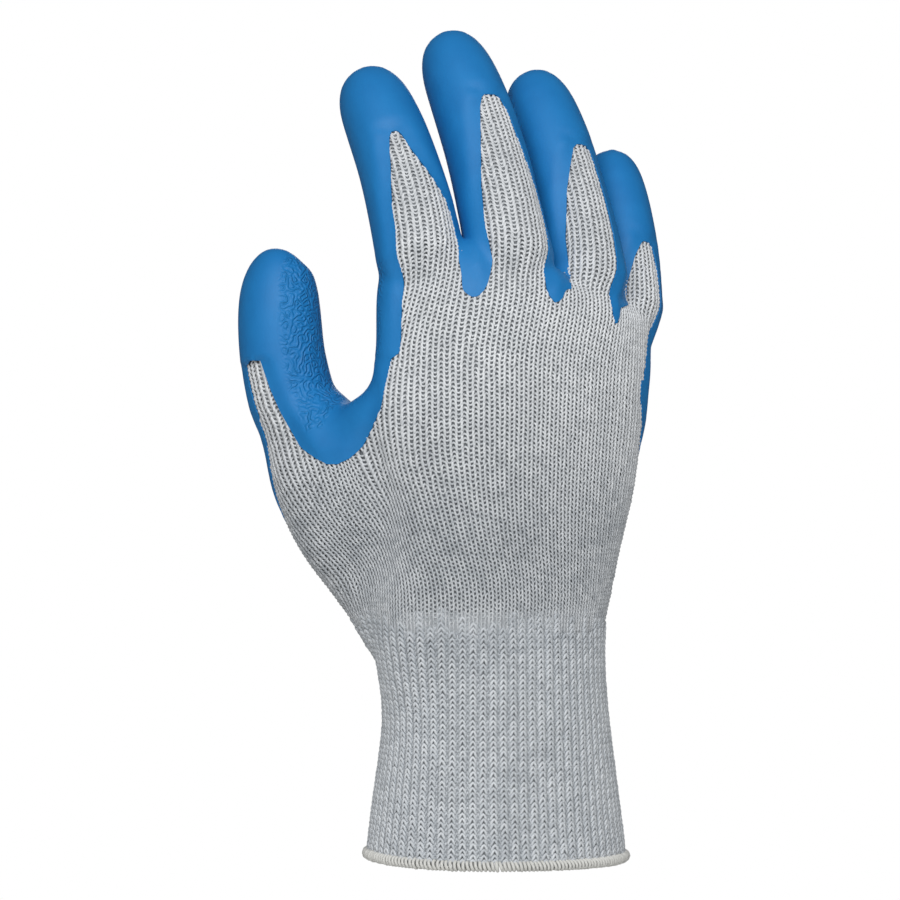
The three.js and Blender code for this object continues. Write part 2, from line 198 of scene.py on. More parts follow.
def finger_station(finger, along):
    """A place and a direction along a finger."""
    steps = 24
    place = Vector((finger["side"] * palm_breadth, finger["depth"] * palm_thickness,
                    cuff_length + finger["rise"] * palm_length))
    length = finger["length"] * palm_length * along
    for i in range(steps):
        place += finger_way(finger, (i + 0.5) / steps * along) * (length / steps)
    return place, finger_way(finger, along)


def cross_axes(way, turn):
    """The two directions across a path whose back faces a given way, in degrees."""
    back = Vector((math.sin(math.radians(turn)), -math.cos(math.radians(turn)), 0))
    back = (back - way * back.dot(way)).normalized()
    return back, back.cross(way).normalized()


def oval_ring(place, way, turn, half_breadth, half_depth, web=0.0, sides=40):
    """An oval across a path; web stretches it away from its side direction."""
    back, side = cross_axes(way, turn)
    points = []
    for angle in np.arange(sides) / sides * math.tau:
        reach = half_breadth + (web if math.cos(angle) < 0 else 0)
        points.append(place + side * (math.cos(angle) * reach) + back * (math.sin(angle) * half_depth))
    return points


def finger_rings(finger, steps):
    half = finger["breadth"] * palm_breadth / 2
    root, _ = finger_station(finger, 0)
    foot = half * finger_foot_share
    foot_place = Vector((root.x * finger_foot_side, root.y, root.z - finger_root_reach))
    rings = [oval_ring(foot_place, finger_way(finger, 0), finger["turn"], foot, foot)]
    for along, width in smooth_rows(finger_sections, steps):
        place, way = finger_station(finger, along)
        rings.append(oval_ring(place, way, finger["turn"], half * width,
                               half * width * finger_depth_share))
    return rings


def thumb_stations(steps):
    """Places and directions along the thumb, with its section sizes."""
    rows = smooth_rows(thumb_sections, steps)
    places = np.stack([-rows[:, 1] * thumb_reach_side, rows[:, 2] * thumb_reach_palm,
                       thumb_root_rise + rows[:, 0] * thumb_length], axis=1)
    ways = np.gradient(places, axis=0)
    return rows, places, ways / np.linalg.norm(ways, axis=1)[:, None]


def thumb_rings(steps):
    half = thumb_breadth / 2
    rows, places, ways = thumb_stations(steps)
    return [oval_ring(Vector(place), Vector(way), thumb_turn, half * row[3], half * row[4], half * row[5])
            for row, place, way in zip(rows, places, ways)]


print("thumb sections:", len(thumb_sections))

# %% [markdown]
# ## The hand's skin
# One smooth skin has to run from the hem to every fingertip, with soft crotches between the fingers. Each
# tube is lofted on its own by bridging rings. A voxel remesh then melts the overlapping tubes into one
# outer surface, which a subdivision cage would have needed careful hand modelling for, and smoothing rounds
# the places where they meet.

# %% Loft the tubes and melt them together
ring_steps = 5
hand_sides = 96
skin_voxel = 1.3 * mm
skin_smoothing = 10
web_smoothing = 20

# the valley between the thumb's base and the palm, from the crotch down, and how far round it the skin is
# drawn tight each time, in millimetres
web_reach = (14, 12, 10, 8)
web_valley = [(-44, 4, 134), (-41, 5, 123), (-38, 4, 112), (-36, 2, 102), (-35, 0, 90), (-33, -3, 80)]

# the fold that fills the thumb's crotch, from back to palm, in millimetres, and its size along the way
web_fold = [(-43.0, -5, 130.5), (-41.5, 11, 130.5)]
web_fold_radius = 6.8 * mm
web_fold_shape = [(0.0, 0.3), (0.12, 0.75), (0.35, 1.0), (0.65, 1.0), (0.88, 0.75), (1.0, 0.3)]


def loft(bm, rings):
    """Bridges rings of points in order and closes both ends."""
    loops = []
    for ring in rings:
        closed = ring is rings[0] or ring is rings[-1]
        made = bmesh.ops.create_circle(bm, segments=len(ring), radius=1, cap_ends=closed)
        for vert, place in zip(made["verts"], ring):
            vert.co = place
        loops.append(list({edge for vert in made["verts"] for edge in vert.link_edges}))
    for low, high in zip(loops, loops[1:]):
        bmesh.ops.bridge_loops(bm, edges=low + high)


def new_object(name, mesh):
    piece = bpy.data.objects.new(name, mesh)
    bpy.context.scene.collection.objects.link(piece)
    return piece


def to_mesh(bm, name):
    mesh = bpy.data.meshes.new(name)
    bm.to_mesh(mesh)
    bm.free()
    return mesh


def applied(piece):
    """The piece's mesh with its modifiers applied; the piece itself is removed."""
    graph = bpy.context.evaluated_depsgraph_get()
    mesh = bpy.data.meshes.new_from_object(piece.evaluated_get(graph))
    name = piece.name
    bpy.data.objects.remove(piece)
    mesh.name = name
    return mesh


def tilted_hem(place):
    """How far the hem lies above the level at a place; it fades out by a third of the cuff."""
    fade = max(0, 1 - place[2] / (cuff_length / 3))
    return -hem_tilt * (place[0] * hem_falls[0] + place[1] * hem_falls[1]) * fade


def web_fold_rings():
    """The rings of the fold across the thumb's crotch."""
    start, end = (Vector(p) * mm for p in web_fold)
    return [oval_ring(start.lerp(end, share), (end - start).normalized(), 90, web_fold_radius * size,
                      web_fold_radius * size) for share, size in web_fold_shape]


def filled_form():
    """All tubes melted into one closed skin."""
    bm = bmesh.new()
    loft(bm, web_fold_rings())
    loft(bm, hand_rings(hand_sides, ring_steps))
    loft(bm, thumb_rings(ring_steps))
    for finger in fingers.values():
        loft(bm, finger_rings(finger, ring_steps))
    for vert in bm.verts:
        vert.co.z += tilted_hem(vert.co)
    bmesh.ops.recalc_face_normals(bm, faces=bm.faces)
    piece = new_object("form", to_mesh(bm, "form"))
    remesh = piece.modifiers.new("melt", "REMESH")
    remesh.mode = "VOXEL"
    remesh.voxel_size = skin_voxel
    smooth = piece.modifiers.new("soften", "SMOOTH")
    smooth.factor = 0.5
    smooth.iterations = skin_smoothing
    return applied(piece)


def eased_web(mesh):
    """The skin with the valley beside the thumb's base drawn tight, as stretched cloth is."""
    bm = bmesh.new()
    bm.from_mesh(mesh)
    for radius in web_reach:
        near = [v for v in bm.verts
                if min((v.co - Vector(p) * mm).length for p in web_valley) < radius * mm]
        for _ in range(web_smoothing):
            bmesh.ops.smooth_vert(bm, verts=near, factor=0.5, use_axis_x=True, use_axis_y=True,
                                  use_axis_z=True)
    return to_mesh(bm, "form")


form = eased_web(filled_form())
print("skin faces:", len(form.polygons))

# %% [markdown]
# ## Asking the skin
# The stitches have to lie on the skin, so the script asks it two things again and again: the nearest point
# on it, and the way it faces there. A BVH tree answers the first quickly. The second is averaged over the
# corners of the face, so that it turns smoothly from one face to the next.

# %% Nearest points on the skin
def corners_of(mesh):
    """The places and normals of a mesh's corners."""
    count = len(mesh.vertices)
    places = np.empty(count * 3)
    normals = np.empty(count * 3)
    mesh.vertices.foreach_get("co", places)
    mesh.vertices.foreach_get("normal", normals)
    return places.reshape(-1, 3), normals.reshape(-1, 3)


def quads_of(mesh):
    """The corners of each face of a mesh of quads."""
    quads = np.empty(len(mesh.polygons) * 4, int)
    mesh.polygons.foreach_get("vertices", quads)
    return quads.reshape(-1, 4)


form_places, form_normals = corners_of(form)
form_quads = quads_of(form)
quad_normals = form_normals[form_quads].mean(axis=1)
skin = BVHTree.FromPolygons(form_places.tolist(), form_quads.tolist())


def unit(vectors):
    return vectors / np.linalg.norm(vectors, axis=-1, keepdims=True)


def snap(points):
    """The nearest points on the skin and its normals there."""
    places = np.empty_like(points)
    normals = np.empty_like(points)
    for i, point in enumerate(points):
        near, _, face, _ = skin.find_nearest(Vector(point))
        places[i] = near
        normals[i] = quad_normals[face]
    return places, unit(normals)


def smoothstep(low, high, value):
    """Goes from 0 at low to 1 at high without a corner."""
    t = np.clip((value - low) / (high - low), 0, 1)
    return t * t * (3 - 2 * t)


# %% [markdown]
# ## Knowing which finger
# The latex and the knit both follow the fingers, so every point has to know how far along a finger it lies
# and how far round it. Painted masks could say so, but a path down the middle of each limb gives both as
# numbers, with the real sizes kept.

# %% The limbs as paths
limb_steps = 60


def finger_path(finger):
    """Places, directions, backs, sides and half breadths along a finger."""
    shares = np.linspace(-0.5, 1.1, limb_steps)
    widths = np.array(finger_sections)
    half = finger["breadth"] * palm_breadth / 2
    rows = []
    for share in shares:
        place, way = finger_station(finger, share)
        back, side = cross_axes(way, finger["turn"])
        width = half * np.interp(share, widths[:, 0], widths[:, 1])
        rows.append([share, *place, *way, *back, *side, width])
    return np.array(rows)


def thumb_path():
    """The same for the thumb."""
    rows, places, ways = thumb_stations(4)
    path = []
    for row, place, way in zip(rows, places, ways):
        back, side = cross_axes(Vector(way), thumb_turn)
        path.append([row[0], *place, *way, *back, *side, row[3] * thumb_breadth / 2])
    return np.array(path)


paths = {name: finger_path(finger) for name, finger in fingers.items()}
paths["thumb"] = thumb_path()


def on_path(path, points):
    """For each point: share along the path, angle round it from its back, distance from it, row."""
    gaps = points[:, None, :] - path[None, :, 1:4]
    nearest = np.argmin((gaps ** 2).sum(axis=2), axis=1)
    rows = path[nearest]
    gap = points - rows[:, 1:4]
    spacing = np.linalg.norm(path[1, 1:4] - path[0, 1:4]) / (path[1, 0] - path[0, 0])
    share = rows[:, 0] + (gap * rows[:, 4:7]).sum(axis=1) / spacing
    out = (gap * rows[:, 7:10]).sum(axis=1)
    side = (gap * rows[:, 10:13]).sum(axis=1)
    return share, np.degrees(np.arctan2(side, out)), np.hypot(out, side), rows


print("limbs:", sorted(paths))

# %% [markdown]
# ## Where the latex ends
# The dipped edge is what gives this glove its look. A painted mask would be only as sharp as the mesh under
# it, so the edge is written as a field over the skin: how many metres a point lies inside the coat, and
# below zero where the knit is bare. The back of the hand, the window on each finger's back and the tongue
# under the crotch of the thumb each have their own simple field, and taking the larger or smaller of two
# fields joins them.

# %% The edge of the dip
# rise, then how far forward the edge lies at the little finger's side, at the index finger's and at the
# thumb; in the last three rows the thumb's value lies behind the hand, so all of that side is under latex
dip_sections = [
    (0.33, -0.28, 0.10, 1.06),
    (0.45, -0.46, 0.02, 1.02),
    (0.50, -0.55, -0.055, 1.00),
    (0.575, -0.64, -0.11, 0.95),
    (0.64, -0.70, -0.21, 1.00),
    (0.70, -0.71, -0.27, 1.03),
    (0.725, -0.70, -0.29, 1.02),
    (0.745, -0.69, -0.30, -1.90),
    (0.82, -0.64, -0.34, -1.90),
    (0.90, -0.57, -0.36, -1.90),
]
dip_slope = 0.16
heel_corner = 8 * mm
dip_thumb_side = 1.13 * thumb_reach_side
dip_index_side = 0.39 * palm_breadth
dip_little_side = 0.46 * palm_breadth

# along, thumb side, little side: the edges of a finger's bare window, in degrees round from its back
windows = {
    "index": [(-0.55, 104, -34), (-0.37, 90, -34), (-0.22, 75, -36), (-0.07, 56, -42), (0.09, 45, -55),
              (0.20, 43, -52), (0.28, 38, -35), (0.39, 29, -15), (0.45, 25, -7), (0.52, 18, -1),
              (0.545, 13, 3)],
    "middle": [(-0.40, 60, -24), (-0.17, 60, -31), (-0.11, 56, -38), (-0.03, 52, -47), (0.05, 53, -55),
               (0.12, 54, -60), (0.26, 47, -60), (0.31, 42, -54), (0.415, 32, -43), (0.558, 17, -35),
               (0.605, 9, -29), (0.62, 3, -22)],
    "ring": [(-0.40, 46, -9), (-0.14, 46, -11), (-0.04, 51, -21), (0.05, 54, -29), (0.15, 52, -36),
             (0.245, 43, -38), (0.345, 34, -39), (0.447, 19, -39), (0.53, 5, -36), (0.55, -4, -29)],
    "little": [(-0.45, 38, -8), (-0.30, 39, -20), (-0.15, 38, -36), (-0.06, 41, -44), (0.08, 39, -44),
               (0.18, 28, -38), (0.247, 20, -33), (0.32, 6, -27), (0.342, -1, -20)],
}

# along, thumb side, index side: the tongue under the thumb's crotch, as seen from the way it faces, which is
# tongue_turn in degrees
tongue_sections = [(0.555, -0.90, -0.85), (0.567, -0.952, -0.791), (0.601, -1.044, -0.717),
                   (0.635, -1.082, -0.680), (0.703, -1.158, -0.622), (0.77, -1.214, -0.595),
                   (0.84, -1.259, -0.565), (0.90, -1.30, -0.54)]
tongue_turn = -28

# how widely the corners between fields are rounded, and the strip that two fingers' windows may share
tongue_corner = 2 * mm
window_corner = 3 * mm
shared_strip = 1 * mm

# side, rise: the line that the latex comes down to between the fingers, a round bottom at each web
web_sections = [(-0.45, 0.93), (-0.33, 1.00), (-0.295, 0.935), (-0.27, 0.908), (-0.24, 0.90),
                (-0.21, 0.908), (-0.185, 0.935), (-0.15, 1.00), (-0.005, 0.98), (0.01, 0.91),
                (0.04, 0.887), (0.065, 0.90), (0.09, 0.93), (0.235, 0.93), (0.25, 0.875), (0.268, 0.835),
                (0.283, 0.824), (0.297, 0.838), (0.32, 0.88), (0.42, 0.90), (0.50, 0.90)]


def soft_max(a, b, radius):
    """The larger of two fields, with the corner between them rounded."""
    blend = np.maximum(radius - np.abs(a - b), 0) / radius
    return np.maximum(a, b) + blend ** 2 * radius / 4


def back_field(points):
    """How far a point is on the bare side of the dip's edge across the back of the hand."""
    x, y, z = points.T
    table = np.array(dip_sections)
    heights = cuff_length + table[:, 0] * palm_length
    little = np.interp(z, heights, table[:, 1] * palm_thickness)
    index = np.interp(z, heights, table[:, 2] * palm_thickness)
    thumb = np.interp(z, heights, table[:, 3] * thumb_reach_palm)
    to_thumb = np.clip((-x - dip_index_side) / (dip_thumb_side - dip_index_side), 0, 1)
    near_thumb = index + (thumb - index) * to_thumb
    near_little = index + (little - index) * (x + dip_index_side) / (dip_little_side + dip_index_side)
    edge = np.where(x < -dip_index_side, near_thumb, near_little)
    return soft_max(edge - y, heights[0] + dip_slope * x - z, heel_corner)


def web_field(points):
    """How far a point is below the line through the webs of the fingers."""
    table = np.array(web_sections)
    rise = np.interp(points[:, 0] / palm_breadth, table[:, 0], table[:, 1])
    return cuff_length + rise * palm_length - points[:, 2]


def window_field(points, path, table):
    """How far a point is inside a limb's bare window."""
    share, angle, _, rows = on_path(path, points)
    table = np.array(table)
    left = np.interp(share, table[:, 0], table[:, 1])
    right = np.interp(share, table[:, 0], table[:, 2])
    inside = np.radians(np.minimum(left - angle, angle - right)) * rows[:, 13]
    spacing = np.linalg.norm(path[1, 1:4] - path[0, 1:4]) / (path[1, 0] - path[0, 0])
    return np.minimum(inside, (table[-1, 0] - share) * spacing), share


def tongue_field(points):
    """How far a point is inside the tongue of latex under the thumb's crotch."""
    turn = math.radians(tongue_turn)
    across = points[:, 0] * math.cos(turn) + points[:, 1] * math.sin(turn)
    table = np.array(tongue_sections)
    heights = thumb_root_rise + table[:, 0] * thumb_length
    left = np.interp(points[:, 2], heights, table[:, 1] * thumb_reach_side)
    right = np.interp(points[:, 2], heights, table[:, 2] * thumb_reach_side)
    between = np.minimum(across - left, right - across)
    return np.minimum(between, np.minimum(points[:, 2] - heights[0], heights[-1] - points[:, 2]))


def coat_field(points):
    """How far inside the latex a point is, in metres; below zero the knit is bare."""
    bare = np.minimum(back_field(points), web_field(points))
    for name in fingers:
        inside, share = window_field(points, paths[name], windows[name])
        distances = [on_path(paths[other], points)[2] for other in fingers]
        own = on_path(paths[name], points)[2] <= np.min(distances, axis=0) + shared_strip
        inside = np.where(own & (share > windows[name][0][0]), inside, -1)
        bare = soft_max(bare, inside, window_corner)
    return soft_max(-bare, tongue_field(points), tongue_corner)


form_coat = coat_field(form_places)
print("share of the skin under latex:", round(float((form_coat > 0).mean()), 3))

# %% [markdown]
# ## Materials
# Each finish starts from what it is made of. A small function adds a node, sets its inputs and links them,
# so a material reads as a short list. Colours are the sRGB values that a maker's colour card would give,
# turned to linear by one function.

# %% Material helpers
def linear(code):
    """An sRGB hex colour as linear RGBA."""
    channels = [int(code[i:i + 2], 16) / 255 for i in (1, 3, 5)]
    return [c / 12.92 if c <= 0.04045 else ((c + 0.055) / 1.055) ** 2.4 for c in channels] + [1]


def add_node(tree, kind, inputs=None, **settings):
    """Adds a node; an input is a value, or a socket to link from."""
    node = tree.nodes.new(kind)
    for name, value in settings.items():
        setattr(node, name, value)
    for name, value in (inputs or {}).items():
        if isinstance(value, bpy.types.NodeSocket):
            tree.links.new(value, node.inputs[name])
        else:
            node.inputs[name].default_value = value
    return node


def new_material(name):
    material = bpy.data.materials.new(name)
    material.use_nodes = True
    material.node_tree.nodes.clear()
    return material, material.node_tree


def finish_material(tree, shader):
    add_node(tree, "ShaderNodeOutputMaterial", {"Surface": shader.outputs["BSDF"]})


# %% Heather cotton and polyester yarn
# Staple fibres are about 0.02 mm thick, which is too fine to show, so their fuzz is drawn about a quarter of
# a millimetre coarse. The heather changes along the yarn every 2 mm, and slowly over 14 mm of cloth.
heather_length = 2.2 * mm
patch_length = 14 * mm


def yarn_material(name, light, dark, roughness, fibre):
    """Spun staple yarn: matte, a soft sheen at grazing angles, and uneven grey from blended fibres, darkened
    by painted shade carried in an attribute of its mesh.
    """
    material, tree = new_material(name)
    place = add_node(tree, "ShaderNodeTexCoord").outputs["Object"]
    tint_and_painted_shade = add_node(tree, "ShaderNodeAttribute", attribute_name="tint_and_painted_shade").outputs["Fac"]
    heather = add_node(tree, "ShaderNodeTexNoise", {"Vector": place, "Scale": 1 / heather_length,
                                                    "Detail": 3.0})
    patches = add_node(tree, "ShaderNodeTexNoise", {"Vector": place, "Scale": 1 / patch_length,
                                                    "Detail": 2.0})
    both = add_node(tree, "ShaderNodeMath", {0: heather.outputs["Fac"], 1: patches.outputs["Fac"]},
                    operation="ADD")
    level = add_node(tree, "ShaderNodeMath", {0: both.outputs[0], 1: 0.28, 2: tint_and_painted_shade},
                     operation="MULTIPLY_ADD")
    ramp = add_node(tree, "ShaderNodeMapRange", {"Value": level.outputs[0], "From Min": 0.1,
                                                 "From Max": 1.2})
    colour = add_node(tree, "ShaderNodeMix", {0: ramp.outputs["Result"], 6: linear(dark), 7: linear(light)},
                      data_type="RGBA")
    fuzz = add_node(tree, "ShaderNodeTexNoise", {"Vector": place, "Scale": 1 / (fibre * mm), "Detail": 2.0})
    bump = add_node(tree, "ShaderNodeBump", {"Height": fuzz.outputs["Fac"], "Strength": 0.5,
                                             "Distance": 0.08 * mm})
    shader = add_node(tree, "ShaderNodeBsdfPrincipled", {
        "Base Color": colour.outputs[2], "Roughness": roughness, "Sheen Weight": 0.06,
        "Sheen Roughness": 0.5, "Specular IOR Level": 0.2, "Normal": bump.outputs["Normal"]})
    finish_material(tree, shader)
    return material


yarn = yarn_material("heather_cotton_polyester_yarn", "#F0F2F4", "#9DA2A7", 0.9, 0.25)
cuff_yarn = yarn_material("heather_elastic_rib_yarn", "#EEF1F4", "#9BA1A7", 0.9, 0.25)
# the same cloth seen between the loops, given darker colours as painted shade, since less light gets in
# there
painted_shade_ground_yarn = yarn_material("painted_shade_knit_ground", "#868A8E", "#6E7276", 0.95, 0.4)
painted_shade_rib_ground_yarn = yarn_material("painted_shade_rib_ground", "#B4B8BC", "#94989C", 0.95, 0.4)
hem_thread = yarn_material("off_white_overlock_thread", "#E2E2DF", "#C6C6C2", 0.85, 0.2)


# %% Dipped natural rubber
# The skin's own grain is about 0.1 mm, drawn 0.7 mm so that it shows. The grip's ridges follow the bands of
# a slow noise, which puts them about a millimetre apart.
cloud_length = 9 * mm
grain_length = 0.7 * mm
fold_length = 2.3 * mm
fold_bands = 25.0


def rubber_material():
    """Natural rubber latex cured on the cloth: opaque, evenly dyed, with a soft matte skin."""
    material, tree = new_material("dipped_natural_rubber")
    place = add_node(tree, "ShaderNodeTexCoord").outputs["Object"]
    cloud = add_node(tree, "ShaderNodeTexNoise", {"Vector": place, "Scale": 1 / cloud_length, "Detail": 3.0})
    colour = add_node(tree, "ShaderNodeMix", {0: cloud.outputs["Fac"], 6: linear("#136AA9"),
                                              7: linear("#1C79B9")}, data_type="RGBA")
    grain = add_node(tree, "ShaderNodeTexNoise", {"Vector": place, "Scale": 1 / grain_length, "Detail": 3.0})
    fine = add_node(tree, "ShaderNodeBump", {"Height": grain.outputs["Fac"], "Strength": 0.25,
                                             "Distance": 0.15 * mm})
    folds = add_node(tree, "ShaderNodeTexNoise", {"Vector": place, "Scale": 1 / fold_length, "Detail": 0.0})
    bands = add_node(tree, "ShaderNodeMath", {0: folds.outputs["Fac"], 1: fold_bands},
                     operation="MULTIPLY")
    ridge = add_node(tree, "ShaderNodeMath", {0: bands.outputs[0]}, operation="SINE")
    amount = add_node(tree, "ShaderNodeAttribute", attribute_name="crinkle").outputs["Fac"]
    height = add_node(tree, "ShaderNodeMath", {0: ridge.outputs[0], 1: amount}, operation="MULTIPLY")
    bump = add_node(tree, "ShaderNodeBump", {"Height": height.outputs[0], "Strength": 1.0,
                                             "Distance": 0.14 * mm, "Normal": fine.outputs["Normal"]})
    shader = add_node(tree, "ShaderNodeBsdfPrincipled", {
        "Base Color": colour.outputs[2], "Roughness": 0.55, "IOR": 1.52, "Specular IOR Level": 0.3,
        "Normal": bump.outputs["Normal"]})
    finish_material(tree, shader)
    return material


rubber = rubber_material()
print("materials:", [m.name for m in bpy.data.materials])

# %% [markdown]
# ## The knitted body
# Behind the stitches there is cloth all the way round, its colour darkened as painted shade because little
# light gets down between the yarns. Loops alone would let one see through the glove, so this plain cloth
# closes it. It is the skin sunk by about the yarn's thickness, opened at the wrist, cut between the cuff and
# the hand, and given a wall by Solidify so that it is hollow as the real glove is.

# %% Hollow shells
ground_depth = 0.75 * mm
ground_wall = 0.8 * mm
ground_voxel = 2.0 * mm
seam_gap = 0.3 * mm
sharp_angle = math.radians(50)


def shrunk(mesh, distance):
    """A copy of a mesh moved in or out along its normals."""
    copy = mesh.copy()
    places, normals = corners_of(mesh)
    copy.vertices.foreach_set("co", (places + normals * distance).ravel())
    copy.update()
    return copy


def coarser(mesh, voxel):
    """The same form with larger faces, which cloth that hardly shows can have."""
    piece = new_object("coarse", mesh)
    remesh = piece.modifiers.new("coarser", "REMESH")
    remesh.mode = "VOXEL"
    remesh.voxel_size = voxel
    return applied(piece)


def cut_between(mesh, low, high):
    """The part of a mesh between two heights, open at both."""
    bm = bmesh.new()
    bm.from_mesh(mesh)
    for height, normal in ((low, (0, 0, -1)), (high, (0, 0, 1))):
        parts = list(bm.verts) + list(bm.edges) + list(bm.faces)
        bmesh.ops.bisect_plane(bm, geom=parts, dist=1e-7, plane_co=(0, 0, height), plane_no=normal,
                               clear_outer=True)
    return to_mesh(bm, mesh.name)


def walled(name, mesh, thickness, material):
    """A finished piece: the mesh with a wall inwards, smooth but for its cut edges."""
    piece = new_object(name, mesh)
    wall = piece.modifiers.new("wall", "SOLIDIFY")
    wall.thickness = thickness
    wall.offset = -1
    wall.use_even_offset = False
    final = applied(piece)
    piece = new_object(name, final)
    final.materials.append(material)
    final.shade_smooth()
    final.set_sharp_from_angle(angle=sharp_angle)
    return piece


body = coarser(shrunk(form, -ground_depth), ground_voxel)
wrist_top = cuff_length - seam_gap
hand_cloth = walled("knit_hand_cloth", cut_between(body, cuff_length, 1), ground_wall, painted_shade_ground_yarn)
wrist_cloth = walled("knit_wrist_cloth", cut_between(body, hem_roll, wrist_top), ground_wall,
                     painted_shade_rib_ground_yarn)
print("cloth faces:", len(hand_cloth.data.polygons), len(wrist_cloth.data.polygons))

# %% [markdown]
# ## Laying out the stitches
# Plain knit is a grid: columns called wales and rows called courses. On the real glove the columns start at
# the wrist, fan out round the thumb and run up the fingers. Here they are walked up the skin together, one
# course at a time. After each step the columns share out the room between them, as the yarn does when a
# hand stretches the cloth.

# %% Walk the columns up the skin
# how far from a limb's middle the wales still turn to follow it, and from where they follow it fully
limb_near = 10 * mm
finger_far = 17 * mm
thumb_far = ([0.35, 0.65], [60 * mm, 18 * mm])
turning_room = 15 * mm

# shares of the way that a wale moves at a course: to the middle of its neighbours, to its place on its limb,
# and the largest step sideways
evening = 0.4
pulling = 0.12
largest_shift = 0.7


def flow(points):
    """The direction of the wales: up the hand, turning to the thumb and along the fingers."""
    way = np.tile((0.0, 0.0, 1.0), (len(points), 1))
    for name, path in paths.items():
        share, _, distance, rows = on_path(path, points)
        if name == "thumb":
            far = np.interp(share, *thumb_far)
            weight = smoothstep(far, limb_near, distance)
        else:
            weight = smoothstep(finger_far, limb_near, distance) * smoothstep(-0.45, 0.15, share)
        weight = weight * smoothstep(cuff_length, cuff_length + turning_room, points[:, 2])
        way += (rows[:, 4:7] - way) * weight[:, None]
    return way


def limb_pull(points, across, targets):
    """How far sideways each wale is from its own place round its limb, which matters above the crotch."""
    pull = np.zeros(len(points))
    for name, (wales, angles, low, high) in targets.items():
        path = paths[name]
        share, _, _, rows = on_path(path, points[wales])
        turn = np.radians(angles)[:, None]
        out = rows[:, 7:10] * np.cos(turn) + rows[:, 10:13] * np.sin(turn)
        place = rows[:, 1:4] + out * rows[:, 13:14]
        strength = smoothstep(low, high, share)
        pull[wales] = ((place - points[wales]) * across[wales]).sum(axis=1) * strength
    return pull


def walk(seeds, course, count, widest, targets):
    """Grid of places and normals, a row for each course."""
    places, normals = snap(seeds)
    grid = [(places, normals)]
    for _ in range(count):
        way = flow(places)
        way -= normals * (way * normals).sum(axis=1)[:, None]
        way = unit(way)
        moved = places + way * course
        across = unit(np.cross(way, normals))
        left = np.roll(moved, 1, axis=0)
        right = np.roll(moved, -1, axis=0)
        gap = np.maximum(np.linalg.norm(left - moved, axis=1), np.linalg.norm(right - moved, axis=1))
        even = (((left + right) / 2 - moved) * across).sum(axis=1)
        shift = np.where(gap < widest, even * evening, 0) + limb_pull(moved, across, targets) * pulling
        shift = np.clip(shift, -course * largest_shift, course * largest_shift)
        places, normals = snap(moved + across * shift[:, None])
        grid.append((places, normals))
    return np.array([g[0] for g in grid]), np.array([g[1] for g in grid])


def seeds_at(height, count):
    """Evenly spaced points round the skin at a height, found on a finely drawn section."""
    rows = smooth_rows(hand_rows(), 12)
    row = rows[np.argmin(np.abs(rows[:, 0] - height))]
    ring = np.array([hand_point(row, a) for a in np.linspace(0, math.tau, 721)])
    walked = np.concatenate([[0], np.cumsum(np.linalg.norm(np.diff(ring, axis=0), axis=1))])
    wanted = np.arange(count) / count * walked[-1]
    points = np.stack([np.interp(wanted, walked, ring[:, k]) for k in range(3)], axis=1)
    points[:, 2] = height
    points[:, 2] += [tilted_hem(point) for point in points]
    return points


finger_wales = 9
thumb_wales = 16
hand_wales = 84
hand_course = 1.26 * mm
hand_courses = 144
widest_wale = 7 * mm

# Of the wales round the hand, the last run up the backs of the fingers and those before them up the thumb:
# which wales, their angles from the limb's back, and the shares along it where the pull starts and is full
finger_angles = np.linspace(80, -80, finger_wales)
thumb_angles = np.linspace(169, -169, thumb_wales)
first = hand_wales - finger_wales * len(fingers)
targets = {name: (np.arange(finger_wales) + first + i * finger_wales, finger_angles, -0.5, 0.1)
           for i, name in enumerate(fingers)}
targets["thumb"] = (np.arange(thumb_wales) + first - thumb_wales, thumb_angles, 0.3, 0.7)
hand_start = cuff_length - 8 * mm
hand_grid, hand_normals = walk(seeds_at(hand_start, hand_wales), hand_course, hand_courses, widest_wale,
                               targets)

# the rib runs on a little past the cuff's end, so that the two knits overlap
cuff_wales = 70
cuff_course = 1.48 * mm
cuff_end = cuff_length + 2 * mm
cuff_courses = round((cuff_end - hem_roll) / cuff_course)
cuff_grid, cuff_normals = walk(seeds_at(hem_roll * 0.6, cuff_wales), cuff_course, cuff_courses,
                               widest_wale, {})
print("grid:", hand_grid.shape, cuff_grid.shape)

# %% [markdown]
# ## One loop of yarn
# A knitted loop is a smooth curve: it comes up from the row above, turns round at its head and goes back,
# and its legs lie in front while head and foot lie behind. An array of loops on curves would give smoother
# yarn but far too many faces, so one loop of a few dozen faces is made and copied into every cell of the
# grid. Sines give its curve in one line each, and the yarn's section is drawn along it with the same loft
# that made the fingers.

# %% Loop templates
def loop_mesh(path, radius, sides=4):
    """A closed tube along a list of points."""
    path = [Vector(p) for p in path]
    rings = []
    for i, place in enumerate(path):
        way = (path[min(i + 1, len(path) - 1)] - path[max(i - 1, 0)]).normalized()
        turn = way.to_track_quat("Z", "Y")
        rings.append([place + turn @ Vector((math.cos(a) * radius, math.sin(a) * radius, 0))
                      for a in (np.arange(sides) + 0.5) / sides * math.tau])
    bm = bmesh.new()
    loft(bm, rings)
    bmesh.ops.recalc_face_normals(bm, faces=bm.faces)
    bm.verts.index_update()
    places = np.array([v.co for v in bm.verts])
    faces = [[v.index for v in f.verts] for f in bm.faces]
    bm.free()
    return places, np.array(faces)


def jersey_path(width, height, steps, lean, overlap, lift):
    """One loop of plain knit, across a wale and up a course, its legs in front."""
    points = []
    for t in np.linspace(0, 1, steps + 1):
        x = (t - 0.5 + lean * math.sin(2 * math.tau * t)) * width
        y = overlap * math.cos(math.tau * t) * height
        z = -lift * math.cos(2 * math.tau * t)
        points.append((x, y, z))
    return points


# height in millimetres and how much darker the yarn is painted there: painted shade, deepest just above
# the cuff where the knit is drawn in and turns away from the light, and least over the stretched knuckles
painted_shade_levels = [(0, 0.18), (55, 0.18), (72, 0.34), (95, 0.40), (115, 0.22), (140, 0.06), (160, 0.03),
                (185, 0.14)]

